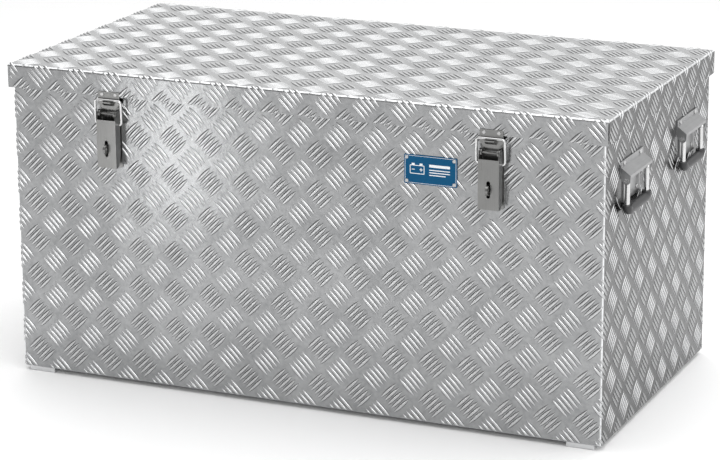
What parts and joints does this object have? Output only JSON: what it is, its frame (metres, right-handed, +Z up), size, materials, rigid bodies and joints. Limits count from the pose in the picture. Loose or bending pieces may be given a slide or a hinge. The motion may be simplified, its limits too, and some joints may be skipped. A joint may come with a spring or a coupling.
{
  "type": "treadplate battery box",
  "caption": "Lidded aluminium treadplate chest with a rear piano hinge, padlockable toggle latches in front and drop handles at both ends.",
  "frame": {"origin": "on the ground, under the middle of the whole outline with lid, latches and handles closed", "axes": "+X to the right seen from the latches, +Y towards the hinge, +Z up"},
  "size_m": [1.045, 0.556, 0.52],
  "materials": {
    "treadplate": "bright rolled five-bar treadplate",
    "plain_aluminium": "mill finish",
    "stainless_steel": "satin",
    "polished_wire": "bright drawn wire",
    "zinc_plated_steel": "bright zinc plated",
    "rivet_metal": "satin",
    "black_grip": "moulded, fine grain",
    "seal_rubber": "matte sponge rubber",
    "blue_plate": "printed, satin"
  },
  "bodies": {
    "chest": {"body_front_and_sides": "treadplate", "back_panel": "treadplate", "floor_panel": "treadplate", "rim_frame": "plain_aluminium", "runner_left": "plain_aluminium", "runner_right": "plain_aluminium", "hinge_body_leaf": "stainless_steel", "hinge_pin": "stainless_steel", "hinge_body_rivets": "rivet_metal", "nameplate": "blue_plate", "nameplate_rivets": "rivet_metal", "latch_left_base": "stainless_steel", "latch_left_staple": "stainless_steel", "latch_left_pivot_pin": "stainless_steel", "latch_left_base_rivets": "rivet_metal", "latch_right_base": "stainless_steel", "latch_right_staple": "stainless_steel", "latch_right_pivot_pin": "stainless_steel", "latch_right_base_rivets": "rivet_metal", "handle_right_front_hood": "zinc_plated_steel", "handle_right_front_rivets": "rivet_metal", "handle_right_rear_hood": "zinc_plated_steel", "handle_right_rear_rivets": "rivet_metal", "handle_left_front_hood": "zinc_plated_steel", "handle_left_front_rivets": "rivet_metal", "handle_left_rear_hood": "zinc_plated_steel", "handle_left_rear_rivets": "rivet_metal"},
    "lid": {"lid_shell": "treadplate", "lid_seal": "seal_rubber", "hinge_lid_leaf": "stainless_steel", "hinge_lid_rivets": "rivet_metal", "latch_left_keeper": "stainless_steel", "latch_left_keeper_rivets": "rivet_metal", "latch_right_keeper": "stainless_steel", "latch_right_keeper_rivets": "rivet_metal"},
    "latch_left_lever": {"latch_left_lever": "stainless_steel"},
    "latch_left_bail": {"latch_left_bail": "polished_wire"},
    "latch_right_lever": {"latch_right_lever": "stainless_steel"},
    "latch_right_bail": {"latch_right_bail": "polished_wire"},
    "handle_right_front": {"handle_right_front_bail": "polished_wire", "handle_right_front_grip": "black_grip"},
    "handle_right_rear": {"handle_right_rear_bail": "polished_wire", "handle_right_rear_grip": "black_grip"},
    "handle_left_front": {"handle_left_front_bail": "polished_wire", "handle_left_front_grip": "black_grip"},
    "handle_left_rear": {"handle_left_rear_bail": "polished_wire", "handle_left_rear_grip": "black_grip"}
  },
  "joints": [
    {"name": "lid_hinge", "type": "hinge", "parent": "chest", "child": "lid", "pos_m": [0, 0.274, 0.4775], "axis": [-1, 0, 0], "range_deg": [0, 95]},
    {"name": "latch_left_lever_swing", "type": "hinge", "parent": "chest", "child": "latch_left_lever", "pos_m": [-0.326, -0.26, 0.455], "axis": [-1, 0, 0], "range_deg": [0, 110]},
    {"name": "latch_left_bail_swing", "type": "hinge", "parent": "latch_left_lever", "child": "latch_left_bail", "pos_m": [-0.326, -0.259, 0.438], "axis": [-1, 0, 0], "range_deg": [-116, 0]},
    {"name": "latch_right_lever_swing", "type": "hinge", "parent": "chest", "child": "latch_right_lever", "pos_m": [0.326, -0.26, 0.455], "axis": [-1, 0, 0], "range_deg": [0, 110]},
    {"name": "latch_right_bail_swing", "type": "hinge", "parent": "latch_right_lever", "child": "latch_right_bail", "pos_m": [0.326, -0.259, 0.438], "axis": [-1, 0, 0], "range_deg": [-116, 0]},
    {"name": "handle_right_front_swing", "type": "hinge", "parent": "chest", "child": "handle_right_front", "pos_m": [0.515, -0.1305, 0.4115], "axis": [0, -1, 0], "range_deg": [0, 90]},
    {"name": "handle_right_rear_swing", "type": "hinge", "parent": "chest", "child": "handle_right_rear", "pos_m": [0.515, 0.1455, 0.4115], "axis": [0, -1, 0], "range_deg": [0, 90]},
    {"name": "handle_left_front_swing", "type": "hinge", "parent": "chest", "child": "handle_left_front", "pos_m": [-0.515, -0.1305, 0.4115], "axis": [0, 1, 0], "range_deg": [0, 90]},
    {"name": "handle_left_rear_swing", "type": "hinge", "parent": "chest", "child": "handle_left_rear", "pos_m": [-0.515, 0.1455, 0.4115], "axis": [0, 1, 0], "range_deg": [0, 90]}
  ],
  "couplings": [
    {"joint": "latch_left_bail_swing", "follows": "latch_left_lever_swing", "ratio": -1.05},
    {"joint": "latch_right_bail_swing", "follows": "latch_right_lever_swing", "ratio": -1.05}
  ]
}
